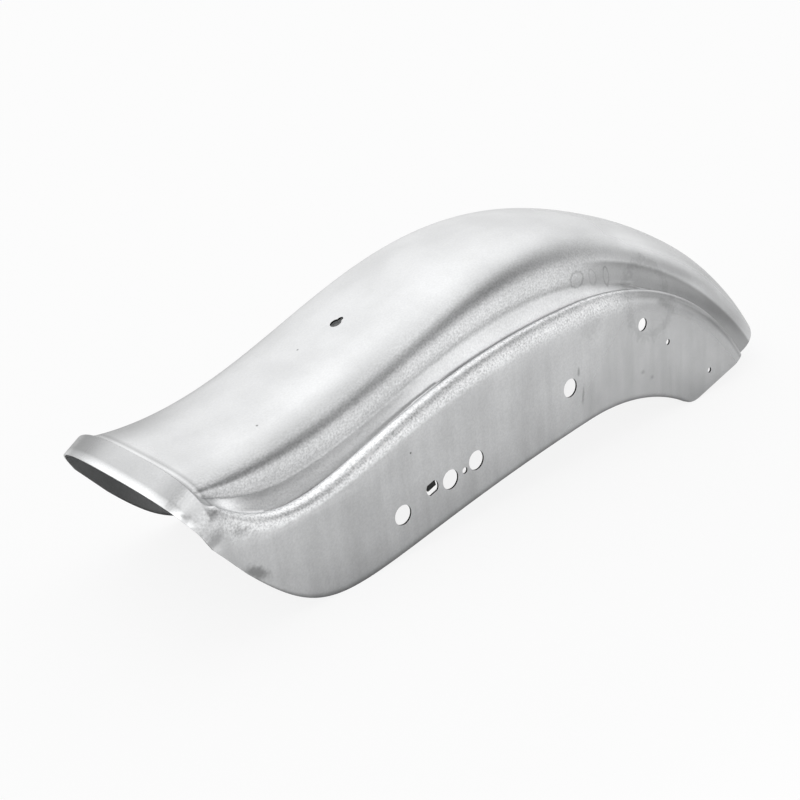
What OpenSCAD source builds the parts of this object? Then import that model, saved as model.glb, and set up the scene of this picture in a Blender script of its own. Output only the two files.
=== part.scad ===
// Bobtail rear fender, one steel pressing, resting as it lies on a floor.
// X runs to the front end, Y across, Z up. Heights are first taken from
// the wheel axle and the whole part is then moved down onto the floor.

/* [Sheet] */
// outside width over the two side skirts
width = 198.6; // [184:0.2:208]
// thickness of the pressed steel
sheet = 1.5; // [1.2:0.1:2]
// depth of the wheel axle below the floor the part rests on
axle_drop = 187; // [185.5:0.1:188.5]

/* [Crown] */
// radius of the crown over the wheel
crown_r = 380.2; // [376:0.1:384]
// angle of the front end of the crown, forward of the top
crown_front = 54.2; // [52:0.1:56]
// angle where the round crown starts to run out, forward of the top
crown_split = 30.6; // [24:0.1:36]
// pull of the run out at its round end
crown_pull = 312; // [300:1:324]
// pull of the run out at the tail
crown_tail_pull = 204; // [190:1:216]
// height of the crown above the axle at the tail lip
crown_lip_height = 308.3; // [304:0.1:312]
// rise of the crown towards the tail at the lip in degrees
crown_lip_rise = 2; // [-2:0.1:6]
// squareness of the crown section at the front end
crown_front_fullness = 2.2; // [2:0.1:2.6]
// squareness of the crown section at the tail
crown_tail_fullness = 3.1; // [2.7:0.1:3.6]

/* [Crease] */
// distance of the crease at the foot of the crown from the side face,
// at the front end
crease_front_in = 8; // [7:0.1:9.5]
// the same distance at the tail
crease_tail_in = 26; // [24:0.1:29]
// radius of the crease over the wheel
crease_r = 314.6; // [312:0.1:317]
// angle where the round crease starts to run out, forward of the top
crease_split = 42.1; // [38:0.1:46]
// pull of the crease at its round end
crease_pull = 373.6; // [362:0.2:385]
// pull of the crease at the tail
crease_tail_pull = 158; // [148:1:168]
// rise of the crease towards the tail at the lip in degrees
crease_lip_rise = 25.4; // [20:0.2:31]

/* [Shelf] */
// distance of the outer edge of the shelf from the side face, at the
// front end
shelf_front_in = 5; // [4.6:0.1:5.8]
// the same distance at the tail
shelf_tail_in = 13; // [11.5:0.1:15]
// radius of the outer edge of the shelf over the wheel
shelf_r = 285; // [282:0.1:288]
// height of the centre of that radius above the axle
shelf_centre = 45; // [43:0.1:47]
// angle where the shelf edge leaves its round part, aft of the top
shelf_split = 0.7; // [0:0.1:5]
// pull of the shelf edge at its round end
shelf_pull = 237; // [225:1:249]
// pull of the shelf edge at the tail
shelf_tail_pull = 104.6; // [96:0.2:113]
// rise of the shelf edge towards the tail at the lip in degrees
shelf_lip_rise = 43.3; // [38:0.1:49]
// height the rolled edge band stands above the shelf, at the tail
band_step = 2.6; // [1.5:0.1:3.5]
// part of that height left at the front end
band_front_share = 0.15; // [0.05:0.01:0.4]
// width of the rounded top of the edge band at the front end
band_front_in = 4; // [3.4:0.1:4.4]
// width of the rounded top of the edge band at the tail
band_tail_in = 10; // [8:0.1:11]

/* [Side panel] */
// radius of the upper bound of the flat side panel over the wheel
panel_r = 278; // [275:0.1:280]
// height of the centre of that radius above the axle
panel_centre = 32.3; // [31:0.1:34]
// angle where the panel bound leaves its round part, forward of the top
panel_split = 1.8; // [0:0.1:6]
// pull of the panel bound at its round end
panel_pull = 221.8; // [210:0.2:234]
// pull of the panel bound at the tail
panel_tail_pull = 114.5; // [105:0.5:124]
// distance of the end of the panel bound ahead of the lip step
panel_lead = 2; // [1:0.5:4]
// height of the panel bound above the axle at the tail lip
panel_lip_height = 270; // [267:0.5:273]
// rise of the panel bound towards the tail in degrees
panel_lip_rise = 18; // [13:0.5:23]

/* [Lower edge] */
// radius of the lower edge over the wheel
edge_r = 224.3; // [221.5:0.1:227]
// distance of the centre of that radius forward of the axle
edge_forward = 20; // [16:0.1:24]
// angle where the straight part of the lower edge starts
edge_slope = 5.2; // [4:0.1:7]
// pull of the lower edge at the wheel arch
edge_pull = 281; // [272:1:290]
// pull of the lower edge at the tail
edge_tail_pull = 120.4; // [112:0.2:129]
// rise of the lower edge at the tail in degrees
edge_tail_rise = 48.5; // [44:0.5:53]

/* [Tail] */
// distance of the lip step behind the axle
lip_back = 383; // [379:0.5:387]
// distance of the shelf end ahead of the lip step
lip_lead = 6; // [3:0.5:9]
// fall from the crown to the shelf end at the lip step
lip_shoulder = 12.2; // [10:0.1:15]
// fall from the end of the crease to the end of the shelf edge
shelf_fall = 2; // [1:0.1:3]
// length of the lip from its step to the tail edge
lip_length = 20; // [17:0.5:23]
// fall of the lip from its step to the middle of the tail edge
lip_fall = 7.9; // [6:0.1:10]
// fall of the tail edge from its middle to the side face
tail_corner_fall = 30.8; // [28:0.1:33]
// lead of the tail edge at the side face over its middle
tail_corner_lead = 12.7; // [11:0.1:14.5]
// squareness of the section of the lip
lip_fullness = 2.3; // [2:0.1:2.7]
// distance of the top of the tail sweep behind the axle
sweep_back = 363.6; // [360:0.2:367]
// height of the top of the tail sweep above the axle
sweep_height = 239.1; // [236:0.1:242]
// length of the last part of the sweep up to the tail corner
sweep_end_length = 37; // [35:0.5:38]
// rise of that last part in degrees
sweep_end_rise = 51.8; // [50:0.2:54]

/* [Front end] */
// angle of the front end of the crease, forward of the top
crease_front = 49; // [47.5:0.1:50.5]
// angle of the front end of the edge band about its own centre
band_front = 55; // [53.5:0.1:56]
// angle of the front end of the side panel about its own centre
panel_front = 52.2; // [51:0.1:53.2]
// radius of the rounded lower corner of the front end
front_corner_r = 30; // [15:1:40]
// depth of the sharp corner below the floor before it is rounded
front_corner_drop = 1.8; // [1.5:0.1:2]

/* [Strut holes] */
// diameter of the strut bolt holes
strut_hole = 16.6; // [14:0.1:18]
// distance of the front strut hole behind the axle
strut_front_back = 25.4; // [22:0.1:28]
// height of the front strut hole above the axle
strut_front_height = 261.8; // [259:0.1:265]
// distance of the rear strut hole behind the axle
strut_rear_back = 221.4; // [218:0.1:224]
// height of the rear strut hole above the axle
strut_rear_height = 224.2; // [221:0.1:227]
// distance of the middle hole behind the axle
strut_middle_back = 169.9; // [167:0.1:173]
// height of the middle hole above the axle
strut_middle_height = 233.7; // [231:0.1:237]
// distance of the next hole behind the axle
strut_next_back = 140.6; // [138:0.1:144]
// height of the next hole above the axle
strut_next_height = 239; // [236:0.1:242]

/* [Other holes] */
// diameter of the hole high up in the front of each panel
high_hole = 12; // [10:0.1:14]
// distance of that hole forward of the axle
high_hole_forward = 73.6; // [72:0.1:76]
// height of that hole above the axle
high_hole_height = 288.8; // [287:0.1:291]
// diameter of the three small holes in each panel
small_hole = 5.4; // [4:0.1:6.5]
// distance of the rear small hole behind the axle
small_rear_back = 153.9; // [152:0.1:156]
// height of the rear small hole above the axle
small_rear_height = 235.2; // [233:0.1:237]
// distance of the middle small hole forward of the axle
small_middle_forward = 110.4; // [108:0.1:112]
// height of the middle small hole above the axle
small_middle_height = 260.6; // [259:0.1:263]
// distance of the front small hole forward of the axle
small_front_forward = 175.6; // [174:0.1:178]
// height of the front small hole above the axle
small_front_height = 211.2; // [211:0.1:214]
// diameter of the half sheared opening between the strut holes
slug_hole = 12.8; // [11:0.1:14]
// width of that opening over its two flats
slug_flats = 10.2; // [9:0.1:10.8]
// rise of the flats towards the front in degrees
slug_turn = 16.4; // [0:0.2:30]
// length of the tongue left at the upper flat
slug_tongue = 6.2; // [4:0.1:7]
// angle the tongue is folded in from the side panel
slug_fold = 25; // [10:1:40]
// distance of the half sheared opening behind the axle
slug_back = 189.5; // [188:0.1:192]
// height of the half sheared opening above the axle
slug_height = 234.3; // [232:0.1:236]
// diameter of the seat screw hole in the crown
seat_hole = 8; // [6:0.1:10]
// angle of the seat screw hole, forward of the top
seat_hole_angle = 14.6; // [12:0.1:17]
// diameter of the lamp wire hole in the crown
wire_hole = 10; // [7:0.1:12]
// angle of the lamp wire hole aft of the top
wire_hole_angle = 28.4; // [27:0.1:30]
// diameter of the notch that widens the wire hole towards the front
wire_notch = 5; // [4:0.1:6]
// distance of the centre of that notch ahead of the wire hole
wire_notch_lead = 5.5; // [4.5:0.1:6.5]

/* [Hidden] */
steel = [0.72, 0.73, 0.74];
half = width / 2;
lip_steps = 4;
run_steps = 42;
crown_steps = 10;
band_steps = 5;
skirt_steps = 3;
last_run = 0.994;
run_crowding = 1.35;
length_chords = 24;
side_facets = 48;
corner_facets = 96;
rear_part = 0.5;
edge_front = acos((axle_drop - front_corner_drop) / edge_r);
reach = crown_r * sin(crown_front);
tail_x = -lip_back - lip_length;
mid_x = (reach + tail_x) / 2;
through = 2 * width;

// ends of the guides at the lip step and at the tail edge
crown_lip = [-lip_back, crown_lip_height];
crease_lip = crown_lip + [lip_lead, -lip_shoulder];
shelf_lip = crease_lip - [0, shelf_fall];
panel_lip = [panel_lead - lip_back, panel_lip_height];
edge_lip = [-sweep_back, sweep_height];
crown_tail = [tail_x, crown_lip_height - lip_fall];
panel_tail = crown_tail + [tail_corner_lead, -tail_corner_fall];
edge_tail = edge_lip
    + sweep_end_length * [-cos(sweep_end_rise), sin(sweep_end_rise)];

// a guide holds centre, radius, front and split angle, two pulls, lip
// point and lip rise, all seen from the side, and a tail point where
// the line goes on over the lip
crown_guide = [[0, 0], crown_r, -crown_front, -crown_split, crown_pull,
    crown_tail_pull, crown_lip, crown_lip_rise, crown_tail];
crease_guide = [[0, 0], crease_r, -crease_front, -crease_split,
    crease_pull, crease_tail_pull, crease_lip, crease_lip_rise];
shelf_guide = [[0, shelf_centre], shelf_r, -band_front, shelf_split,
    shelf_pull, shelf_tail_pull, shelf_lip, shelf_lip_rise];
panel_guide = [[0, panel_centre], panel_r, -panel_front, -panel_split,
    panel_pull, panel_tail_pull, panel_lip, panel_lip_rise,
    panel_tail];
edge_guide = [[edge_forward, 0], edge_r, -edge_front, edge_slope,
    edge_pull, edge_tail_pull, edge_lip, edge_tail_rise, edge_tail];

// point on the round part of a guide
function round_point(g, a) = g[0] + g[1] * [-sin(a), cos(a)];
// point on the run out curve of a guide
function run_point(g, t) =
    let (a = g[3])
    let (p0 = round_point(g, a))
    let (p1 = p0 - g[4] * [cos(a), sin(a)])
    let (p3 = g[6])
    let (p2 = p3 + g[5] * [cos(g[7]), -sin(g[7])])
    let (s = 1 - t)
    s * s * s * p0 + 3 * t * s * s * p1 + 3 * t * t * s * p2
    + t * t * t * p3;
// length of the run out curve, added up from short chords
function run_length(g, i = 0) =
    i >= length_chords ? 0
    : norm(run_point(g, (i + 1) / length_chords)
        - run_point(g, i / length_chords))
    + run_length(g, i + 1);
function round_length(g) = g[1] * (g[3] - g[2]) * PI / 180;
guides = [crown_guide, crease_guide, shelf_guide, panel_guide,
    edge_guide];
// part of each guide taken up by its round end
shares = [for (g = guides)
    round_length(g) / (round_length(g) + run_length(g))];
// point of guide k at station u, 0 front end, 1 lip step, 2 tail edge
function guide_point(k, u) =
    let (g = guides[k])
    let (w = shares[k])
    u > 1 ? g[6] + (g[8] - g[6]) * (u - 1)
    : u > w ? run_point(g, (u - w) / (1 - w))
    : round_point(g, g[2] + (g[3] - g[2]) * u / w);
// a value that grows evenly from the front end to the lip step
function along(u, front, tail) = front + (tail - front) * min(1, u);
// the same, reached half way along the fender
function early(u, front, tail) = along(2 * u, front, tail);
// the edge band rises out of the crown between a third and two thirds
function band_height(u) =
    band_step * max(band_front_share, min(1, 3 * u - 1));

// stations are closer together near the lip step
stations = [
    for (i = [0:run_steps - 1])
        let (t = i / (run_steps - 1))
        last_run * (1 - pow(1 - t, run_crowding)),
    for (i = [0:lip_steps]) 1 + i / lip_steps];

function crease_in(u) = along(u, crease_front_in, crease_tail_in);
function shelf_in(u) = early(u, shelf_front_in, shelf_tail_in);
function crown_share(i, u) = i == 0 ? 1 : i == crown_steps ? 0
    : pow(cos(90 * i / crown_steps),
        2 / along(u, crown_front_fullness, crown_tail_fullness));
// distances of the points of a section from the side face
function side_distances(u) = [
    for (i = [0:skirt_steps - 1]) 0,
    for (i = [0:band_steps])
        early(u, band_front_in, band_tail_in)
        * (1 - cos(90 * i / band_steps)),
    shelf_in(u),
    (shelf_in(u) + crease_in(u)) / 2,
    for (i = [0:crown_steps])
        half - crown_share(i, u) * (half - crease_in(u))];

// a section between the front end and the lip, seen from the side
function pressed_line(u) =
    let (c = guide_point(0, u))
    let (k = guide_point(1, u))
    let (s = guide_point(2, u))
    let (q = guide_point(3, u))
    let (e = guide_point(4, u))
    let (top = s + band_height(u) * (c - e) / norm(c - e))
    [
        for (i = [0:skirt_steps - 1]) e + (q - e) * i / skirt_steps,
        for (i = [0:band_steps])
            q + (top - q) * sin(90 * i / band_steps),
        s,
        (s + k) / 2,
        for (i = [0:crown_steps])
            k + (c - k) * (i == 0 ? 0 : i == crown_steps ? 1
                : pow(sin(90 * i / crown_steps),
                    2 / along(u, crown_front_fullness,
                        crown_tail_fullness)))
    ];
// a section of the lip, one arch from side face to side face
function lip_line(u) =
    let (q = guide_point(3, u))
    let (e = guide_point(4, u))
    let (c = guide_point(0, u))
    let (crest = c + band_step * (2 - u) * (c - e) / norm(c - e))
    let (d = side_distances(1))
    [
        for (i = [0:skirt_steps - 1]) e + (q - e) * i / skirt_steps,
        for (i = [skirt_steps:len(d) - 1])
            let (x = 1 - d[i] / half)
            q + (crest - q)
                * pow(1 - pow(x, lip_fullness), 1 / lip_fullness)
    ];
// half a section from the lower edge to the middle of the crown
function half_section(u) =
    let (d = side_distances(u))
    let (line = u < 1 ? pressed_line(u) : lip_line(u))
    [for (i = [0:len(d) - 1]) [line[i][0], d[i] - half, line[i][1]]];
// whole section, the far half is the mirror of the near half
function whole_section(h) = concat(h,
    [for (i = [len(h) - 2:-1:0]) [h[i][0], -h[i][1], h[i][2]]]);

outside = [for (u = stations) whole_section(half_section(u))];
rows = len(outside);
cols = len(outside[0]);
function held(i, n) = max(0, min(n - 1, i));
// outward direction at one point of the grid
function outward(i, j) =
    j <= skirt_steps ? [0, -1, 0]
    : j >= cols - 1 - skirt_steps ? [0, 1, 0]
    : let (a = outside[held(i + 1, rows)][j]
            - outside[held(i - 1, rows)][j])
    let (b = outside[i][held(j + 1, cols)]
            - outside[i][held(j - 1, cols)])
    let (n = cross(b, a))
    n / norm(n);
inside = [for (i = [0:rows - 1]) [for (j = [0:cols - 1])
    outside[i][j] - sheet * outward(i, j)]];

// the lower corner of the front end and the centre of its rounding
corner = guide_point(4, 0);
rear_way = [-cos(edge_front), sin(edge_front)];
front_way = (guide_point(3, 0) - corner)
    / norm(guide_point(3, 0) - corner);
half_turn = acos(rear_way * front_way) / 2;
bisector = (rear_way + front_way) / norm(rear_way + front_way);
corner_centre = corner + front_corner_r / sin(half_turn) * bisector;
corner_reach = front_corner_r / tan(half_turn);

// the part rests on the rounded corners and on the low rear edges
rest_height = min(corner_centre[1] - front_corner_r,
    min([for (u = stations) if (u > rear_part) guide_point(4, u)[1]]));

module shell() {
    count = rows * cols;
    points = concat([for (r = outside) for (p = r) p],
        [for (r = inside) for (p = r) p]);
    top = [for (i = [0:rows - 2]) for (j = [0:cols - 2])
        each [[i * cols + j, (i + 1) * cols + j + 1, i * cols + j + 1],
            [i * cols + j, (i + 1) * cols + j, (i + 1) * cols + j + 1]]];
    under = [for (f = top) [f[0] + count, f[2] + count, f[1] + count]];
    ends = [for (j = [0:cols - 2]) each [
        [j, j + 1, j + 1 + count, j + count],
        [(rows - 1) * cols + j, (rows - 1) * cols + j + count,
            (rows - 1) * cols + j + 1 + count,
            (rows - 1) * cols + j + 1]]];
    edges = [for (i = [0:rows - 2]) each [
        [i * cols, i * cols + count, (i + 1) * cols + count,
            (i + 1) * cols],
        [i * cols + cols - 1, (i + 1) * cols + cols - 1,
            (i + 1) * cols + cols - 1 + count,
            i * cols + cols - 1 + count]]];
    polyhedron(points, concat(top, under, ends, edges), convexity = 8);
}

// a round hole through both side panels
module across(x, z, d) {
    translate([x, 0, z])
        rotate([90, 0, 0])
            cylinder(h = through, d = d, center = true,
                $fn = side_facets);
}

// takes the sharp corner off the front end of both side panels
module corner_cut() {
    rotate([90, 0, 0])
        difference() {
            linear_extrude(height = through, center = true)
                polygon([corner_centre, corner + corner_reach * rear_way,
                    corner - corner_reach * bisector,
                    corner + corner_reach * front_way]);
            translate([corner_centre[0], corner_centre[1], 0])
                cylinder(h = through + width, r = front_corner_r,
                    center = true, $fn = corner_facets);
        }
}

// the half sheared opening, round with two flats
module slug_cut() {
    translate([-slug_back, 0, slug_height])
        rotate([90, -slug_turn, 0])
            intersection() {
                cylinder(h = through, d = slug_hole, center = true,
                    $fn = side_facets);
                cube([2 * slug_hole, slug_flats, through],
                    center = true);
            }
}

// the tongue that the shear left at the upper flat, folded inwards
module slug_tongue_near() {
    long = sqrt(slug_hole * slug_hole - slug_flats * slug_flats) + sheet;
    translate([-slug_back, -half, slug_height])
        rotate([0, -slug_turn, 0])
            translate([0, 0, slug_flats / 2 + sheet / 4])
                rotate([slug_fold, 0, 0])
                    translate([-long / 2, 0, -slug_tongue])
                        cube([long, sheet, slug_tongue]);
}

module fender() {
    color(steel)
        translate([-mid_x, 0, -rest_height]) {
            difference() {
                shell();
                corner_cut();
                across(-strut_front_back, strut_front_height, strut_hole);
                across(-strut_rear_back, strut_rear_height, strut_hole);
                across(-strut_middle_back, strut_middle_height,
                    strut_hole);
                across(-strut_next_back, strut_next_height, strut_hole);
                across(high_hole_forward, high_hole_height, high_hole);
                across(-small_rear_back, small_rear_height, small_hole);
                across(small_middle_forward, small_middle_height,
                    small_hole);
                across(small_front_forward, small_front_height,
                    small_hole);
                slug_cut();
                rotate([0, seat_hole_angle, 0])
                    translate([0, 0, crown_r])
                        cylinder(h = half, d = seat_hole, center = true,
                            $fn = side_facets);
                rotate([0, -wire_hole_angle, 0])
                    translate([0, 0, crown_r]) {
                        cylinder(h = half, d = wire_hole, center = true,
                            $fn = side_facets);
                        translate([wire_notch_lead, 0, 0])
                            cylinder(h = half, d = wire_notch,
                                center = true, $fn = side_facets);
                    }
            }
            slug_tongue_near();
            mirror([0, 1, 0]) slug_tongue_near();
        }
}

fender();
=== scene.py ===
# %% [markdown]
# This lesson dresses one pressed motorcycle rear fender in bare steel.
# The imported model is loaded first. It is the fixed frame: it carries
# the true size and place, and nothing in it is moved.

# %% Load the frame
import bpy
import bmesh
from math import sin, cos, acos, tan, pi, radians, degrees, sqrt
from mathutils import Vector, Matrix


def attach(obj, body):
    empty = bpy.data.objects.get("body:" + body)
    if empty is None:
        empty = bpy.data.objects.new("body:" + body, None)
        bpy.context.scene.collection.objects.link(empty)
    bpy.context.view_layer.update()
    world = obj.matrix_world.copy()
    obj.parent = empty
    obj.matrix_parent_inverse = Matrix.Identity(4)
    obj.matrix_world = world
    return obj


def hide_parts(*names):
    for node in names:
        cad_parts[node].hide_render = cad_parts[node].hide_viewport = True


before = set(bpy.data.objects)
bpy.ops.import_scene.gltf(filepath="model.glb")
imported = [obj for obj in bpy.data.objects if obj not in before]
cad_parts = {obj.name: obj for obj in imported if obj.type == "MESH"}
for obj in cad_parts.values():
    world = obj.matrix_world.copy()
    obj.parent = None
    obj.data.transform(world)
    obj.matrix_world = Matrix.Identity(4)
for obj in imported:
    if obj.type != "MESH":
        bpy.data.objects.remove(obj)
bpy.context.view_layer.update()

# %% [markdown]
# The camera stands behind and to the left of the fender, a little above
# it. Its place, turn and lens come from matching the bolt holes, the
# silhouette and the pressed lines of the real fender. The sensor is
# 36 mm wide, so the focal length in pixels of an 800 pixel picture
# turns into millimetres.

# %% Camera
camera_right = Vector((0.74150, -0.66466, -0.09168)).normalized()
camera_back = Vector((-0.58752, -0.70919, 0.38971)).normalized()
camera_right -= camera_back * camera_right.dot(camera_back)
camera_right.normalize()
camera_up = camera_back.cross(camera_right)
camera_place = Vector((-0.68254, -0.72287, 0.47280))
picture_pixels = 800
focal_pixels = 1193.04

camera_data = bpy.data.cameras.new("photo_camera")
camera_data.sensor_fit = "HORIZONTAL"
camera_data.sensor_width = 36.0
camera_data.lens = focal_pixels / picture_pixels * camera_data.sensor_width
camera = bpy.data.objects.new("photo_camera", camera_data)
bpy.context.collection.objects.link(camera)
turn = Matrix((camera_right, camera_up, camera_back)).transposed()
camera.matrix_world = Matrix.Translation(camera_place) @ turn.to_4x4()
bpy.context.scene.camera = camera
print("camera lens in mm", round(camera_data.lens, 2))

# %% [markdown]
# The sizes of the pressing, in millimetres, are the ones that the
# construction uses. Heights are taken from the wheel axle, X runs
# forward. A guide is a line pressed along the whole fender, seen from
# the side: a round part over the wheel, then a run out to the tail lip.

# %% Sizes of the pressing
width = 198.6
half = width / 2
sheet = 1.5
crown_front_fullness, crown_tail_fullness = 2.2, 3.1
crease_front_in, crease_tail_in = 8.0, 26.0
shelf_front_in, shelf_tail_in = 5.0, 13.0
band_front_in, band_tail_in = 4.0, 10.0
band_step, band_front_share = 2.6, 0.15
axle_to_corner = 185.2
edge_r, edge_forward = 224.3, 20.0
edge_front = degrees(acos(axle_to_corner / edge_r))
front_corner_r = 30.0
crown_r, crown_front = 380.2, 54.2
reach = crown_r * sin(radians(crown_front))
tail_x = -403.0
middle_x = (reach + tail_x) / 2
print("length of the pressing in mm", round(reach - tail_x, 1))

# %% [markdown]
# Each guide has a round part from the angle front to the angle split,
# and a smooth run from there to the point lip. The pulls say how long
# the run keeps its way at both ends, and rise is its way at the lip.

# %% Guide lines
def flat(x, z):
    return Vector((x, z))


guides = {
    "crown": dict(centre=flat(0, 0), r=crown_r, front=-crown_front, split=-30.6,
                  pull=312.0, tail_pull=204.0, lip=flat(-383.0, 308.3),
                  rise=2.0, tail=flat(tail_x, 300.4)),
    "crease": dict(centre=flat(0, 0), r=314.6, front=-49.0, split=-42.1,
                   pull=373.6, tail_pull=158.0, lip=flat(-377.0, 296.1),
                   rise=25.4),
    "shelf": dict(centre=flat(0, 45), r=285.0, front=-55.0, split=0.7,
                  pull=237.0, tail_pull=104.6, lip=flat(-377.0, 294.1),
                  rise=43.3),
    "panel": dict(centre=flat(0, 32.3), r=278.0, front=-52.2, split=-1.8,
                  pull=221.8, tail_pull=114.5, lip=flat(-381.0, 270.0),
                  rise=18.0, tail=flat(-387.6, 270.5)),
    "edge": dict(centre=flat(edge_forward, 0), r=edge_r, front=-edge_front,
                 split=5.2, pull=281.0, tail_pull=120.4,
                 lip=flat(-363.6, 239.1), rise=48.5,
                 tail=flat(-386.48, 268.18)),
}


def round_point(g, angle):
    a = radians(angle)
    return g["centre"] + g["r"] * flat(-sin(a), cos(a))


def run_point(g, t):
    a = radians(g["split"])
    b = radians(g["rise"])
    p0 = round_point(g, g["split"])
    p1 = p0 - g["pull"] * flat(cos(a), sin(a))
    p3 = g["lip"]
    p2 = p3 + g["tail_pull"] * flat(cos(b), -sin(b))
    s = 1 - t
    return s * s * s * p0 + 3 * t * s * s * p1 + 3 * t * t * s * p2 + t ** 3 * p3


chords = 24
for g in guides.values():
    round_length = g["r"] * radians(g["split"] - g["front"])
    run_length = sum((run_point(g, (i + 1) / chords) - run_point(g, i / chords)).length
                     for i in range(chords))
    g["share"] = round_length / (round_length + run_length)


def guide_point(name, u):
    """u is 0 at the front end, 1 at the lip step and 2 at the tail edge."""
    g = guides[name]
    w = g["share"]
    if u > 1:
        return g["lip"] + (g["tail"] - g["lip"]) * (u - 1)
    if u > w:
        return run_point(g, (u - w) / (1 - w))
    return round_point(g, g["front"] + (g["split"] - g["front"]) * u / w)


print("round share of each guide", {k: round(g["share"], 3) for k, g in guides.items()})

# %% [markdown]
# A section runs from the lower edge up the flat side panel, over the
# rolled edge band, down into the narrow shelf, and over the crown.
# Each point has a station u along the fender and a place v across it.

# %% Section
panel_cols, band_cols, shelf_cols, crown_cols = 10, 14, 8, 32
half_cols = panel_cols + band_cols + shelf_cols + crown_cols
step_start = 0.994
lip_step_fullness, lip_edge_fullness = 3.0, 2.6


def along(u, front, tail):
    return front + (tail - front) * min(1.0, u)


def band_height(u):
    return band_step * max(band_front_share, min(1.0, 3 * u - 1))


def side_distance(u, j):
    """How far point j of a section lies inwards from the side face."""
    band_in = along(2 * u, band_front_in, band_tail_in)
    crease_in = along(u, crease_front_in, crease_tail_in)
    if j <= panel_cols:
        return 0.0
    j -= panel_cols
    if j <= band_cols:
        return band_in * (1 - cos(pi / 2 * j / band_cols))
    j -= band_cols
    if j <= shelf_cols:
        return band_in + (crease_in - band_in) * j / shelf_cols
    j -= shelf_cols
    squareness = 2 / along(u, crown_front_fullness, crown_tail_fullness)
    x = 0.0 if j == crown_cols else cos(pi / 2 * j / crown_cols) ** squareness
    return half - x * (half - crease_in)


def pressed_point(u, j):
    """Point j of a section between the front end and the lip."""
    c, k, s, q, e = (guide_point(n, u) for n in ("crown", "crease", "shelf", "panel", "edge"))
    top = s + band_height(u) * (c - e).normalized()
    if j <= panel_cols:
        return e + (q - e) * j / panel_cols
    j -= panel_cols
    if j <= band_cols:
        return q + (top - q) * sin(pi / 2 * j / band_cols)
    j -= band_cols
    if j <= shelf_cols:
        shelf_in = along(2 * u, shelf_front_in, shelf_tail_in)
        band_in = along(2 * u, band_front_in, band_tail_in)
        crease_in = along(u, crease_front_in, crease_tail_in)
        inner = band_in + (crease_in - band_in) * j / shelf_cols
        if inner < shelf_in:
            t = (inner - band_in) / (shelf_in - band_in)
            return top + (s - top) * t * t * (3 - 2 * t)
        return s + (k - s) * (inner - shelf_in) / (crease_in - shelf_in)
    j -= shelf_cols
    squareness = 2 / along(u, crown_front_fullness, crown_tail_fullness)
    h = 1.0 if j == crown_cols else sin(pi / 2 * j / crown_cols) ** squareness
    return k + (c - k) * h


def lip_point(u, j):
    """Point j of a section of the lip, one arch from side to side."""
    u = max(u, 1.0)
    c, q, e = (guide_point(n, u) for n in ("crown", "panel", "edge"))
    crest = c + band_step * (2 - u) * (c - e).normalized()
    if j <= panel_cols:
        return e + (q - e) * j / panel_cols
    x = 1 - side_distance(1.0, j) / half
    n = lip_step_fullness + (lip_edge_fullness - lip_step_fullness) * (u - 1)
    return q + (crest - q) * max(0.0, 1 - x ** n) ** (1 / n)


def section_point(u, j):
    """Place of point j at any station, with the step between the two."""
    y = side_distance(u, j) - half
    if u >= 1:
        return lip_point(u, j), y
    if u <= step_start:
        return pressed_point(u, j), y
    t = (u - step_start) / (1 - step_start)
    t = t * t * (3 - 2 * t)
    low, high = pressed_point(u, j), lip_point(1.0, j)
    if j <= panel_cols:
        return low, y
    return low + (high - guide_point("edge", 1.0) - (low - guide_point("edge", u))) * t, y


# %% [markdown]
# The lowest points of the side panels touch the floor. The corner at
# the front is rounded, so its lowest point lies on an arc.

# %% Height above the floor
corner = guide_point("edge", 0)
rear_way = flat(-cos(radians(edge_front)), sin(radians(edge_front)))
front_way = (guide_point("panel", 0) - corner).normalized()
half_turn = acos(rear_way.dot(front_way)) / 2
bisector = (rear_way + front_way).normalized()
corner_centre = corner + front_corner_r / sin(half_turn) * bisector
looks = 400
lowest_edge = min(guide_point("edge", i / looks)[1] for i in range(looks // 4, looks + 1))
rest_height = min(corner_centre[1] - front_corner_r, lowest_edge)
print("axle line above the floor point in mm", round(rest_height, 2))


def place(p, y):
    return Vector((p[0] - middle_x, y, p[1] - rest_height)) / 1000


# %% [markdown]
# The stations lie closer together where the pressing turns into the
# lip. The map gives every point its share of the way, the lip included.

# %% Stations
near_step = 0.96
long_rows, near_rows, step_rows, lip_rows = 190, 8, 5, 10
lip_on_map = 0.03
stations = [near_step * i / long_rows for i in range(long_rows)]
stations += [near_step + (step_start - near_step) * i / near_rows for i in range(near_rows)]
stations += [step_start + (1 - step_start) * i / step_rows for i in range(step_rows)]
stations += [1 + i / lip_rows for i in range(lip_rows + 1)]
rows = len(stations)
cols = 2 * half_cols + 1


def map_u(u):
    return (u if u <= 1 else 1 + (u - 1) * lip_on_map) / (1 + lip_on_map)


print("stations", rows, "points across", cols)

# %% [markdown]
# The outer skin starts as a plain grid of the right number of points.
# Each point is then moved to its place on the pressing, as a flat sheet
# is drawn over its die.

# %% Outer skin
skin = bmesh.new()
uv_layer = skin.loops.layers.uv.new("sheet_map")
bmesh.ops.create_grid(skin, x_segments=rows - 1, y_segments=cols - 1, size=1.0)
grid_place = {}
for v in skin.verts:
    i = round((v.co.x + 1) / 2 * (rows - 1))
    j = round((v.co.y + 1) / 2 * (cols - 1))
    grid_place[v.index] = (i, j)
for v in skin.verts:
    i, j = grid_place[v.index]
    u = stations[i]
    if j <= half_cols:
        p, y = section_point(u, j)
    else:
        p, y = section_point(u, cols - 1 - j)
        y = -y
    v.co = place(p, y)
for face in skin.faces:
    for loop in face.loops:
        i, j = grid_place[loop.vert.index]
        loop[uv_layer].uv = (map_u(stations[i]), j / (cols - 1))
print("points placed", len(skin.verts))

# %% [markdown]
# A sheet is never perfect. Beside the tail lip it carries a few shallow
# dents, pushed in or out across the fender. A dent has a centre and a
# radius, and a depth that counts towards the middle of the fender.

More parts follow.
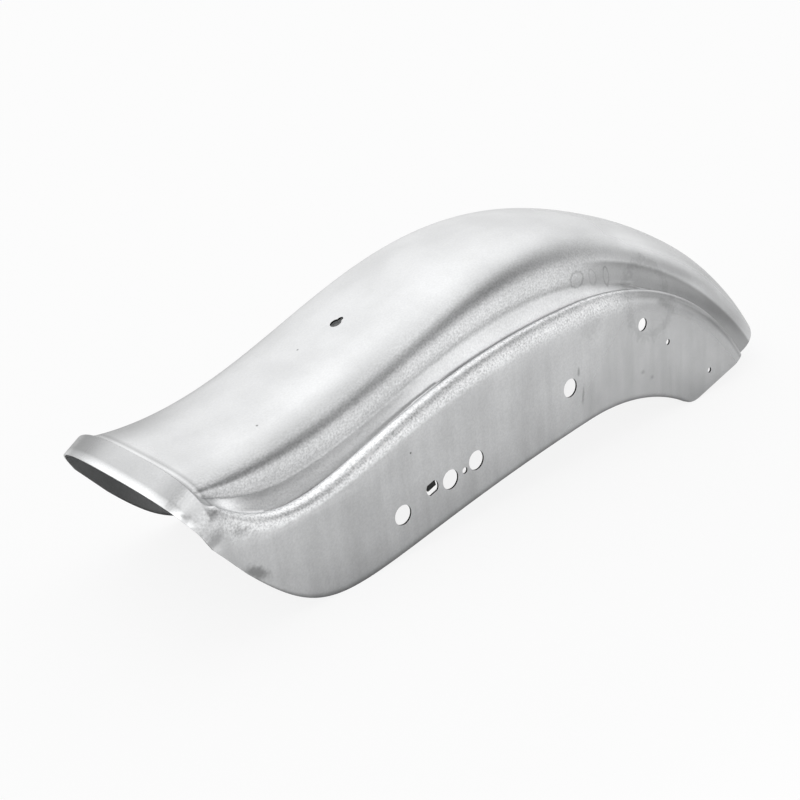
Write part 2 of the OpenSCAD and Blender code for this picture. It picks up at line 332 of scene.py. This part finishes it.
# %% Dents
dents = [((-337.7, -97.0, 99.7), 11, -0.9), ((-348.3, -84.0, 103.6), 8, 1.3),
         ((-337.5, -99.0, 87.5), 10, 1.1), ((-315.5, -99.0, 85.1), 10, 0.9),
         ((-330.0, -99.0, 72.0), 14, -0.7)]
for centre, radius, depth in dents:
    middle = Vector(centre) / 1000
    for v in skin.verts:
        gap = (v.co - middle).length * 1000 / radius
        if gap < 1:
            v.co.y += depth / 1000 * (1 - gap * gap) ** 2
skin.normal_update()
upward = sum(f.normal.z * f.calc_area() for f in skin.faces)
if upward < 0:
    bmesh.ops.reverse_faces(skin, faces=skin.faces[:])
print("skin faces", len(skin.faces), "upward area", round(upward, 4))

# %% [markdown]
# Thickness is given to the skin on its inner side, so that the outside
# keeps its size. The holes are punched with cutters, as in a press.

# %% Sheet thickness
fender_mesh = bpy.data.meshes.new("fender_pressing")
skin.to_mesh(fender_mesh)
skin.free()
fender = bpy.data.objects.new("fender_pressing", fender_mesh)
bpy.context.collection.objects.link(fender)
thickness = fender.modifiers.new("thickness", "SOLIDIFY")
thickness.thickness = sheet / 1000
thickness.offset = -1.0
thickness.use_quality_normals = True

# %% Punches
side_bar_length, crown_bar_length = 1.0, 0.1


def punch_bar(bm, x, z, d, segments=64):
    """A round bar through both side panels, in the place of a hole."""
    made = bmesh.ops.create_cone(bm, cap_ends=True, segments=segments, depth=side_bar_length,
                                 radius1=d / 2000, radius2=d / 2000)
    bmesh.ops.rotate(bm, verts=made["verts"], cent=(0, 0, 0),
                     matrix=Matrix.Rotation(radians(90), 3, "X"))
    bmesh.ops.translate(bm, verts=made["verts"], vec=place((x, z), 0))
    return made["verts"]


def crown_bar(bm, angle, d, lead=0.0, segments=48):
    """A bar square to the crown at an angle forward of its top."""
    made = bmesh.ops.create_cone(bm, cap_ends=True, segments=segments, depth=crown_bar_length,
                                 radius1=d / 2000, radius2=d / 2000)
    bmesh.ops.translate(bm, verts=made["verts"],
                        vec=(lead / 1000, 0, guides["crown"]["r"] / 1000))
    bmesh.ops.rotate(bm, verts=made["verts"], cent=(0, 0, 0),
                     matrix=Matrix.Rotation(radians(angle), 3, "Y"))
    bmesh.ops.translate(bm, verts=made["verts"], vec=place((0, 0), 0))
    return made["verts"]


def punch(target, name, bm):
    """Cuts the shape out of the target and returns the cutter."""
    mesh = bpy.data.meshes.new(name)
    bm.to_mesh(mesh)
    bm.free()
    tool = bpy.data.objects.new(name, mesh)
    bpy.context.collection.objects.link(tool)
    cut = target.modifiers.new(name, "BOOLEAN")
    cut.operation = "DIFFERENCE"
    cut.solver = "EXACT"
    cut.object = tool
    return tool


strut_hole, high_hole, small_hole = 16.6, 12.0, 5.4
side_holes = [(-25.4, 261.8, strut_hole), (-221.4, 224.2, strut_hole),
              (-169.9, 233.7, strut_hole), (-140.6, 239.0, strut_hole),
              (73.6, 288.8, high_hole), (-153.9, 235.2, small_hole),
              (110.4, 260.6, small_hole), (175.6, 211.2, small_hole)]
bars = bmesh.new()
for x, z, d in side_holes:
    punch_bar(bars, x, z, d)
seat_angle, seat_hole = 14.6, 8.0
crown_bar(bars, seat_angle, seat_hole)
tools = [punch(fender, "round_punches", bars)]

wire_angle, wire_hole, wire_notch, notch_lead = -28.4, 10.0, 5.0, 5.5
wire = bmesh.new()
crown_bar(wire, wire_angle, wire_hole)
tools.append(punch(fender, "wire_punch", wire))
notch = bmesh.new()
crown_bar(notch, wire_angle, wire_notch, lead=notch_lead)
tools.append(punch(fender, "notch_punch", notch))

slug_place, slug_turn, slug_hole, slug_flats = (-189.5, 234.3), 16.4, 12.8, 10.2
slug = bmesh.new()
punch_bar(slug, slug_place[0], slug_place[1], slug_hole)
up = Vector((-sin(radians(slug_turn)), 0, cos(radians(slug_turn))))
middle = place(slug_place, 0)
for side in (1, -1):
    cutting = bmesh.ops.bisect_plane(
        slug, geom=slug.verts[:] + slug.edges[:] + slug.faces[:],
        plane_co=middle + side * up * slug_flats / 2000, plane_no=side * up, clear_outer=True)
    rim = [e for e in cutting["geom_cut"] if isinstance(e, bmesh.types.BMEdge)]
    bmesh.ops.contextual_create(slug, geom=rim)
tools.append(punch(fender, "flat_sided_punch", slug))
print("places of side holes", len(side_holes) + 1)

# %% [markdown]
# The lower front corners are rounded by a block with the shape of a
# roller taken out of it.

# %% Rounded front corner
corner_tool = bmesh.new()
reach_back = front_corner_r / tan(half_turn)
outline = [corner_centre, corner + reach_back * rear_way,
           corner - reach_back * bisector, corner + reach_back * front_way]
past_side = half + 20
ring = [corner_tool.verts.new(place(p, -past_side)) for p in outline]
lid = corner_tool.faces.new(ring)
grown = bmesh.ops.extrude_face_region(corner_tool, geom=[lid])
moved = [v for v in grown["geom"] if isinstance(v, bmesh.types.BMVert)]
bmesh.ops.translate(corner_tool, verts=moved, vec=(0, 2 * past_side / 1000, 0))
bmesh.ops.recalc_face_normals(corner_tool, faces=corner_tool.faces[:])
block = punch(fender, "corner_block", corner_tool)
fender.modifiers.remove(fender.modifiers["corner_block"])
roller_mesh = bmesh.new()
punch_bar(roller_mesh, corner_centre[0], corner_centre[1], 2 * front_corner_r, segments=192)
roller = punch(block, "corner_roller", roller_mesh)
corner_cut = fender.modifiers.new("corner_cut", "BOOLEAN")
corner_cut.operation = "DIFFERENCE"
corner_cut.solver = "EXACT"
corner_cut.object = block
tools += [roller, block]

# %% [markdown]
# The flat sided hole is only half punched: its slug hangs from the upper
# flat as a tongue, folded a little inwards, on both sides alike.

# %% Tongue at the flat sided hole
tongue_long = sqrt(slug_hole ** 2 - slug_flats ** 2) + sheet
tongue_drop = 6.2
tongue_fold = radians(8)
tongue = bmesh.new()
for side in (1, -1):
    made = bmesh.ops.create_cube(tongue, size=1.0)["verts"]
    bmesh.ops.scale(tongue, verts=made, vec=Vector((tongue_long, sheet, tongue_drop)) / 1000)
    bmesh.ops.translate(tongue, verts=made, vec=(0, sheet / 2000, -tongue_drop / 2000))
    bmesh.ops.rotate(tongue, verts=made, cent=(0, 0, 0),
                     matrix=Matrix.Rotation(tongue_fold, 3, "X"))
    bmesh.ops.translate(tongue, verts=made, vec=(0, 0, (slug_flats / 2 + sheet / 4) / 1000))
    bmesh.ops.rotate(tongue, verts=made, cent=(0, 0, 0),
                     matrix=Matrix.Rotation(radians(-slug_turn), 3, "Y"))
    bmesh.ops.translate(tongue, verts=made, vec=place(slug_place, -half))
    if side == -1:
        bmesh.ops.scale(tongue, verts=made, vec=(1, -1, 1))
bmesh.ops.recalc_face_normals(tongue, faces=tongue.faces[:])
tongue_mesh = bpy.data.meshes.new("tongues")
tongue.to_mesh(tongue_mesh)
tongue.free()
tongues = bpy.data.objects.new("tongues", tongue_mesh)
bpy.context.collection.objects.link(tongues)
join = fender.modifiers.new("tongues", "BOOLEAN")
join.operation = "UNION"
join.solver = "EXACT"
join.object = tongues
tools.append(tongues)

# %% [markdown]
# All cuts are settled into one plain mesh. Bends shade smoothly, and
# only turns sharper than a fold, such as punched edges, stay crisp.

# %% Finish the mesh
sharp_turn = radians(62)


def settle(obj):
    """Turns the object's modifiers into a plain mesh."""
    depsgraph = bpy.context.evaluated_depsgraph_get()
    done = bpy.data.meshes.new_from_object(obj.evaluated_get(depsgraph))
    obj.modifiers.clear()
    old = obj.data
    obj.data = done
    done.name = old.name + "_done"


settle(fender)
for tool in tools:
    bpy.data.objects.remove(tool)
for polygon in fender.data.polygons:
    polygon.use_smooth = True
fender.data.set_sharp_from_angle(angle=sharp_turn)
print("fender faces", len(fender.data.polygons))

# %% [markdown]
# Small helpers keep the node work short. Each shared effect is a node
# group that puts out masks or values, and the material stays outside.

# %% Node helpers
def new_group(name, inputs, outputs):
    """A shader node group. Sockets are given as pairs of name and kind."""
    tree = bpy.data.node_groups.new(name, "ShaderNodeTree")
    for direction, sockets in (("INPUT", inputs), ("OUTPUT", outputs)):
        for label, kind in sockets:
            tree.interface.new_socket(name=label, in_out=direction,
                                      socket_type="NodeSocket" + kind)
    return tree, tree.nodes.new("NodeGroupInput"), tree.nodes.new("NodeGroupOutput")


def feed(tree, socket, value):
    """Links a socket to another one, or sets it to a plain value."""
    if isinstance(value, bpy.types.NodeSocket):
        tree.links.new(value, socket)
    elif value is not None:
        socket.default_value = value


def calc(tree, operation, *values):
    """A math node on sockets or plain values."""
    node = tree.nodes.new("ShaderNodeMath")
    node.operation = operation
    for socket, value in zip(node.inputs, values):
        feed(tree, socket, value)
    return node.outputs[0]


def vector_calc(tree, operation, *values):
    """A vector math node on sockets or plain values."""
    node = tree.nodes.new("ShaderNodeVectorMath")
    node.operation = operation
    for socket, value in zip(node.inputs, values):
        feed(tree, socket, value)
    return node.outputs["Value" if operation in ("LENGTH", "DOT_PRODUCT") else "Vector"]


def fade(tree, value, start, end, low=0.0, high=1.0):
    """Goes softly from low at start to high at end."""
    node = tree.nodes.new("ShaderNodeMapRange")
    node.interpolation_type = "SMOOTHSTEP"
    feed(tree, node.inputs["Value"], value)
    for label, number in (("From Min", start), ("From Max", end),
                          ("To Min", low), ("To Max", high)):
        node.inputs[label].default_value = number
    return node.outputs["Result"]


def noise(tree, where, scale, detail=2.0):
    """A noise value. The scale counts grains in a metre."""
    node = tree.nodes.new("ShaderNodeTexNoise")
    node.inputs["Scale"].default_value = scale
    node.inputs["Detail"].default_value = detail
    feed(tree, node.inputs["Vector"], where)
    return node.outputs["Fac"]


ramp_top = 1.5


def ramp(tree, value, stops):
    """A curve through pairs of place and level, levels up to ramp_top."""
    node = tree.nodes.new("ShaderNodeValToRGB")
    elements = node.color_ramp.elements
    while len(elements) < len(stops):
        elements.new(0.5)
    for element, (stop, height) in zip(elements, stops):
        element.position = stop
        grey = height / ramp_top
        element.color = (grey, grey, grey, 1)
    feed(tree, node.inputs["Fac"], value)
    return calc(tree, "MULTIPLY", node.outputs["Color"], ramp_top)


def mixed(tree, amount, first, second):
    """first where amount is 0, second where it is 1"""
    if isinstance(second, float) and isinstance(first, float):
        step = second - first
    else:
        step = calc(tree, "SUBTRACT", second, first)
    return calc(tree, "MULTIPLY_ADD", amount, step, first)


def product(tree, first, *others):
    for other in others:
        first = calc(tree, "MULTIPLY", first, other)
    return first


# %% [markdown]
# The tone group reads the sheet map. Its first value runs along the
# fender and its second across it. Folded about the crown, the second
# becomes a column: 0 at the lower edge, 1 on the crown. Its tone is
# painted light and shade. The edge band, shelf and wall are lighter,
# partly from blasting and partly as painted light. Painted shade lies
# along the lower edge and in the creases. There are painted reflections
# at the front and along the shoulder, and a painted shadow and highlight
# at the lip step.

# %% Columns of the sheet map
tone_tree, tone_in, tone_out = new_group(
    "sheet_painted_light_and_finish", [("Map", "Vector")],
    [("Painted_Light", "Float"), ("Coarse", "Float"), ("Punched", "Float"), ("Side", "Float")])
split_map = tone_tree.nodes.new("ShaderNodeSeparateXYZ")
tone_tree.links.new(tone_in.outputs["Map"], split_map.inputs[0])
run, sweep = split_map.outputs["X"], split_map.outputs["Y"]
from_edge = calc(tone_tree, "PINGPONG", sweep, 0.5)
column = calc(tone_tree, "MULTIPLY", from_edge, 2.0)
front_share = fade(tone_tree, run, 0.37, 0.27)
tail_share = fade(tone_tree, run, 0.58, 0.8)
lip_share = fade(tone_tree, run, 0.945, 0.972)
crown_share = fade(tone_tree, column, 0.28, 0.42)

# %% Painted light and shade across and along the sheet
# painted light and shade across the section: painted shade on the lower edge and in the two
# creases, with a lighter edge band, shelf and wall
painted_light_across = ramp(tone_tree, column, [
    (0.0, 0.45), (0.009, 1.12), (0.13, 1.14), (0.18, 1.25), (0.28, 1.45), (0.36, 1.42),
    (0.385, 0.85), (0.41, 1.25), (0.45, 1.38), (0.485, 1.25), (0.5, 0.85),
    (0.52, 1.18), (0.60, 1.15), (0.72, 1.0), (1.0, 0.97)])
# at the front, painted reflections: a darker edge band, shelf and lower wall under a sharp
# bright streak
painted_reflection_front = ramp(tone_tree, column, [
    (0.0, 0.45), (0.009, 1.08), (0.13, 1.05), (0.17, 0.95), (0.23, 0.98), (0.262, 0.7),
    (0.29, 0.88), (0.40, 0.8), (0.585, 0.66), (0.60, 1.3), (0.68, 1.18),
    (0.73, 0.92), (0.79, 1.0), (1.0, 0.97)])
# towards the tail, a painted dark reflection along the shoulder of the crown
shoulder = ramp(tone_tree, column, [
    (0.0, 1.0), (0.40, 1.0), (0.45, 1.14), (0.50, 1.0), (0.60, 0.84), (0.66, 0.74),
    (0.74, 0.82), (0.84, 1.0), (1.0, 1.0)])
# on the crown near the lip, a painted shadow and a painted highlight at the step, and a
# painted highlight on the tail edge
painted_step_shade_and_highlight = ramp(tone_tree, fade(tone_tree, run, 0.93, 1.0), [
    (0.0, 1.0), (0.37, 1.0), (0.46, 0.72), (0.53, 1.2), (0.58, 0.86),
    (0.95, 0.84), (1.0, 1.5)])
# painted shade on the far half near the tail
behind = product(tone_tree, fade(tone_tree, run, 0.82, 0.95), fade(tone_tree, sweep, 0.5, 0.6))
lip_tone, painted_shade_behind_change = 1.05, -0.42
# The tone put out is this painted light and shade, with a plain tone on the lip.
body = mixed(tone_tree, front_share, painted_light_across, painted_reflection_front)
painted_light_and_shade = product(
    tone_tree, mixed(tone_tree, lip_share, body, lip_tone),
    mixed(tone_tree, crown_share, 1.0, painted_step_shade_and_highlight),
    mixed(tone_tree, tail_share, 1.0, shoulder),
    calc(tone_tree, "MULTIPLY_ADD", behind, painted_shade_behind_change, 1.0))
tone_tree.links.new(painted_light_and_shade, tone_out.inputs["Painted_Light"])

# %% Coarse parts, punched walls and side panels
coarse_front, coarse_lip = 0.15, 0.55
coarse = product(
    tone_tree, ramp(tone_tree, column, [
        (0.0, 0.1), (0.15, 0.12), (0.22, 1.0), (0.34, 1.0), (0.39, 0.25), (0.48, 0.25),
        (0.51, 0.7), (0.62, 0.6), (0.75, 0.1), (1.0, 0.05)]),
    mixed(tone_tree, front_share, 1.0, coarse_front),
    mixed(tone_tree, lip_share, 1.0, coarse_lip))
tone_tree.links.new(coarse, tone_out.inputs["Coarse"])
# faces made by a punch have no place on the map, and read as its corner
map_corner = 0.00001
punched = calc(tone_tree, "LESS_THAN", calc(tone_tree, "ADD", run, from_edge), map_corner)
tone_tree.links.new(punched, tone_out.inputs["Punched"])
tone_tree.links.new(fade(tone_tree, column, 0.18, 0.12), tone_out.inputs["Side"])
print("sheet tone nodes", len(tone_tree.nodes))

# %% [markdown]
# A spot is a soft ellipsoid at a place on the fender. It gives a mask of
# its inside and a mask of its rim, for smudges, stains, rings and one
# patch of painted shade.

# %% Spot
spot_tree, spot_in, spot_out = new_group(
    "spot", [("Position", "Vector"), ("Centre", "Vector"), ("Size", "Vector"),
             ("Turn", "Float")], [("Inside", "Float"), ("Rim", "Float")])
offset = vector_calc(spot_tree, "SUBTRACT", spot_in.outputs["Position"],
                     spot_in.outputs["Centre"])
turned = spot_tree.nodes.new("ShaderNodeVectorRotate")
turned.rotation_type = "Y_AXIS"
spot_tree.links.new(offset, turned.inputs["Vector"])
spot_tree.links.new(spot_in.outputs["Turn"], turned.inputs["Angle"])
edge_grain, raggedness = 260.0, 0.7
ragged = calc(spot_tree, "MULTIPLY_ADD",
              noise(spot_tree, spot_in.outputs["Position"], edge_grain),
              raggedness, -raggedness / 2)
reach_out = vector_calc(spot_tree, "LENGTH", vector_calc(
    spot_tree, "DIVIDE", turned.outputs[0], spot_in.outputs["Size"]))
reach_out = calc(spot_tree, "ADD", reach_out, ragged)
spot_tree.links.new(fade(spot_tree, reach_out, 0.25, 1.0, 1.0, 0.0),
                    spot_out.inputs["Inside"])
from_rim = calc(spot_tree, "ABSOLUTE", calc(spot_tree, "SUBTRACT", reach_out, 1.0))
spot_tree.links.new(fade(spot_tree, from_rim, 0.02, 0.22, 1.0, 0.0), spot_out.inputs["Rim"])

# %% [markdown]
# The grain group gives the coarse blasted speckle, the fine grain, the
# faint upright brush streaks of the side panels, and slow clouds.

# %% Grain
grain_tree, grain_in, grain_out = new_group(
    "steel_grain", [("Position", "Vector")],
    [("Speckle", "Float"), ("Fine", "Float"), ("Streaks", "Float"), ("Clouds", "Float")])
at = grain_in.outputs["Position"]
streak_at = vector_calc(grain_tree, "MULTIPLY", at, (75.0, 10.0, 8.0))
for label, value in (("Speckle", noise(grain_tree, at, 620.0, 1.0)),
                     ("Fine", noise(grain_tree, at, 1500.0, 2.0)),
                     ("Streaks", noise(grain_tree, streak_at, 1.0, 3.0)),
                     ("Clouds", noise(grain_tree, at, 22.0, 4.0))):
    grain_tree.links.new(value, grain_out.inputs[label])

# %% [markdown]
# Most marks are those of making and handling: stains, rings, a scratch,
# and rubbed dents beside the lip. One is a patch of painted shade below
# the edge band at the front. Each has a centre and half sizes in
# millimetres, a turn in degrees, and the change of tone that it makes.

# %% Marks
stains_and_painted_shade = [
    ((-337.7, -97.0, 99.7), (12, 12, 7), 0, 0.12),
    ((-349.9, -72.0, 109.2), (6, 9, 5), 0, -0.28),
    ((-348.3, -84.0, 103.6), (6, 6, 5), 0, -0.35),
    ((-337.5, -99.0, 87.5), (11, 12, 5), 20, -0.25),
    ((-315.5, -99.0, 85.1), (9, 12, 5), -10, -0.28),
    ((-347.8, -82.0, 105.0), (2, 4, 7), 30, -0.3),
    ((-309.6, -99.0, 50.6), (16, 12, 7), -35, -0.5),
    ((154.0, -97.0, 112.0), (15, 12, 6), -25, -0.28),
    ((33.3, -99.0, 85.6), (2.2, 9, 6), 0, -0.35),
    ((38.2, -99.0, 62.6), (1.8, 9, 12), -7, -0.3),
    ((120.6, -99.0, 56.4), (4, 9, 3), 0, -0.22),
    ((133.6, -99.0, 47.1), (4, 9, 3), 0, -0.22),
    # painted shade: a darker patch just below the edge band at the front of the panel
    ((49.0, -99.0, 122.0), (22, 12, 16), 0, -0.16),
    ((-160.8, -99.0, 84.6), (1.2, 4, 1.2), 0, -0.7),
    ((-255.2, -41.5, 126.5), (1.3, 1.3, 3), 0, -0.7),
    ((-177.6, 6.4, 150.3), (1.3, 1.3, 3), 0, -0.7),
    ((-265.0, -99.0, 76.0), (72, 12, 6), 2, 0.1)]
rings = [
    ((51.5, -88.0, 160.4), (8, 25, 6.5), 0, -0.25),
    ((88.5, -88.0, 153.5), (3.5, 25, 8), 0, -0.28),
    ((71.0, -88.0, 157.0), (4, 25, 7), 12, -0.16),
    ((136.0, -96.0, 121.0), (33, 60, 33), 0, -0.13)]
print("stains_and_painted_shade", len(stains_and_painted_shade), "rings", len(rings))

# %% [markdown]
# Bare blasted steel is a metal with a satin sheen. The material holds
# the shader. The groups only tell it how light, how rough and how
# uneven the metal is at each place. Its lightness also carries painted
# light and shade.

# %% Steel
steel = bpy.data.materials.new("blasted_steel")
steel.use_nodes = True
tree = steel.node_tree
shader = tree.nodes["Principled BSDF"]
shader.inputs["Metallic"].default_value = 1.0
position = tree.nodes.new("ShaderNodeTexCoord").outputs["Object"]
sheet_map = tree.nodes.new("ShaderNodeUVMap")
sheet_map.uv_map = "sheet_map"


def use_group(group, **values):
    """Places a node group in the steel and returns its outputs."""
    node = tree.nodes.new("ShaderNodeGroup")
    node.node_tree = group
    for label, value in values.items():
        feed(tree, node.inputs[label], value)
    return node.outputs


tone = use_group(tone_tree, Map=sheet_map.outputs["UV"])
grain = use_group(grain_tree, Position=position)
# The lightness starts from the painted light and shade of the sheet, and the marks are laid
# over it.
lightness = tone["Painted_Light"]
for output, marks in (("Inside", stains_and_painted_shade), ("Rim", rings)):
    for centre, size, turn, change in marks:
        mask = use_group(spot_tree, Position=position,
                         Centre=[c / 1000 for c in centre],
                         Size=[c / 1000 for c in size], Turn=radians(turn))[output]
        lightness = product(tree, lightness, calc(tree, "MULTIPLY_ADD", mask, change, 1.0))
print("material nodes", len(tree.nodes))

# %% Grain on the steel
# The last value darkens the walls of the punched holes and the tongue, as painted shade inside
# the holes.
speckle_coarse, speckle_fine, punched_painted_shade = 1.1, 0.1, -0.85
speckle = product(
    tree, calc(tree, "SUBTRACT", grain["Speckle"], 0.5),
    calc(tree, "MULTIPLY_ADD", tone["Coarse"], speckle_coarse, speckle_fine))
streaks = product(tree, fade(tree, grain["Streaks"], 0.3, 0.7, -0.06, 0.045), tone["Side"])
# Grain, streaks and clouds vary the tone, and the punched faces take painted shade.
lightness = product(
    tree, lightness, calc(tree, "ADD", speckle, 1.0), calc(tree, "ADD", streaks, 1.0),
    calc(tree, "MULTIPLY_ADD", tone["Punched"], punched_painted_shade, 1.0),
    fade(tree, grain["Clouds"], 0.3, 0.7, 0.94, 1.045))
tint = tree.nodes.new("ShaderNodeMix")
tint.data_type = "RGBA"
tint.clamp_factor = False
tint.inputs["A"].default_value = (0, 0, 0, 1)
tint.inputs["B"].default_value = (0.60, 0.605, 0.61, 1)
tree.links.new(lightness, tint.inputs["Factor"])
tree.links.new(tint.outputs["Result"], shader.inputs["Base Color"])

# %% Sheen and bump
sheen, coarse_sheen = 0.27, 0.08
fine_bump, coarse_bump, bump_height = 0.2, 0.35, 0.0003
bump = tree.nodes.new("ShaderNodeBump")
bump.inputs["Distance"].default_value = bump_height
for coarse_part, base_part, socket in ((coarse_sheen, sheen, shader.inputs["Roughness"]),
                                       (coarse_bump, fine_bump, bump.inputs["Strength"])):
    tree.links.new(calc(tree, "MULTIPLY_ADD", tone["Coarse"], coarse_part, base_part), socket)
tree.links.new(calc(tree, "ADD", grain["Fine"], grain["Speckle"]), bump.inputs["Height"])
tree.links.new(bump.outputs["Normal"], shader.inputs["Normal"])
fender.data.materials.clear()
fender.data.materials.append(steel)
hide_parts("fender")
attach(fender, "root")

# %% [markdown]
# The floor is plain and pale. To the camera it is almost white, and it
# keeps a soft shadow. The steel mirrors it, and its colour carries
# painted shade. A painted shadow darkens it around the fender and lifts
# to lighter far out to the near side, and a painted darker part lies
# ahead of the fender.

# %% Floor
floor_bm = bmesh.new()
bmesh.ops.create_grid(floor_bm, x_segments=1, y_segments=1, size=12.0)
floor_mesh = bpy.data.meshes.new("floor")
floor_bm.to_mesh(floor_mesh)
floor_bm.free()
floor = bpy.data.objects.new("floor", floor_mesh)
bpy.context.collection.objects.link(floor)
pale = bpy.data.materials.new("pale_floor")
pale.use_nodes = True
floor.data.materials.append(pale)

# %% Floor material
pale_tree = pale.node_tree
paint = pale_tree.nodes["Principled BSDF"]
paint.inputs["Roughness"].default_value = 0.9
paint.inputs["Specular IOR Level"].default_value = 0.0
here = pale_tree.nodes.new("ShaderNodeTexCoord").outputs["Object"]
# painted shade on the floor, mirrored in the steel: a dark part ahead of the fender, and a
# painted shadow over the floor inwards of 0.3 m out on the near side
painted_shade_place = (0.8, -0.28, 0.0)
from_dark = vector_calc(pale_tree, "LENGTH",
                        vector_calc(pale_tree, "SUBTRACT", here, painted_shade_place))
painted_shade_ahead = fade(pale_tree, from_dark, 0.15, 0.42, 0.4, 1.0)
floor_parts = pale_tree.nodes.new("ShaderNodeSeparateXYZ")
pale_tree.links.new(here, floor_parts.inputs[0])
painted_shadow_near = fade(pale_tree, floor_parts.outputs["Y"], -0.6, -0.3, 0.93, 0.72)
shade = product(pale_tree, painted_shade_ahead, painted_shadow_near)
pale_colour = pale_tree.nodes.new("ShaderNodeCombineColor")
for channel in pale_colour.inputs:
    pale_tree.links.new(shade, channel)
pale_tree.links.new(pale_colour.outputs[0], paint.inputs["Base Color"])

# %% Floor as the camera sees it
white_share = 0.88
white = pale_tree.nodes.new("ShaderNodeEmission")
white.inputs["Color"].default_value = (1, 1, 1, 1)
path = pale_tree.nodes.new("ShaderNodeLightPath")
mixer = pale_tree.nodes.new("ShaderNodeMixShader")
pale_tree.links.new(product(pale_tree, path.outputs["Is Camera Ray"], white_share),
                    mixer.inputs["Fac"])
pale_tree.links.new(paint.outputs[0], mixer.inputs[1])
pale_tree.links.new(white.outputs[0], mixer.inputs[2])
pale_tree.links.new(mixer.outputs[0], pale_tree.nodes["Material Output"].inputs["Surface"])
print("floor ready")

# %% [markdown]
# The studio is a soft sky of even light. Round patches are added to it:
# a bright ceiling, bright and dark parts to the near side, and a dark
# gap that draws the line along the shoulder. The camera itself sees
# white.

# %% World
world = bpy.data.worlds.new("studio")
bpy.context.scene.world = world
world.use_nodes = True
sky_tree = world.node_tree
sky = sky_tree.nodes["Background"]
way = sky_tree.nodes.new("ShaderNodeTexCoord").outputs["Generated"]
even_light, least_light = 0.75, 0.2
# each patch: direction, angle where it is full, angle where it ends, change
patches = [((0, 0, 1), 15, 75, 0.55), ((0.6, -0.38, 0.7), 5, 26, -0.55),
           ((0.3, -0.62, 0.73), 8, 28, -0.9), ((0.5, -0.86, 0.08), 12, 42, 0.35),
           ((0.97, -0.25, -0.05), 8, 34, -0.35), ((0.97, 0.08, 0.24), 4, 17, 0.6),
           ((0.4, 0.8, 0.5), 10, 60, 0.4)]
light = even_light
for direction, full, end, change in patches:
    toward = vector_calc(sky_tree, "DOT_PRODUCT", way, Vector(direction).normalized())
    patch = fade(sky_tree, toward, cos(radians(end)), cos(radians(full)))
    light = calc(sky_tree, "MULTIPLY_ADD", patch, change, light)
light = calc(sky_tree, "MAXIMUM", light, least_light)
rays = sky_tree.nodes.new("ShaderNodeLightPath")
seen = calc(sky_tree, "MAXIMUM", rays.outputs["Is Camera Ray"],
            rays.outputs["Is Transmission Ray"])
strength = sky_tree.nodes.new("ShaderNodeMix")
strength.data_type = "FLOAT"
strength.inputs["B"].default_value = 1.0
sky_tree.links.new(seen, strength.inputs["Factor"])
sky_tree.links.new(light, strength.inputs["A"])
sky_tree.links.new(strength.outputs["Result"], sky.inputs["Strength"])
sky.inputs["Color"].default_value = (1, 1, 1, 1)
print("patches of light", len(patches))

# %% Picture
bpy.context.scene.view_settings.view_transform = "Standard"
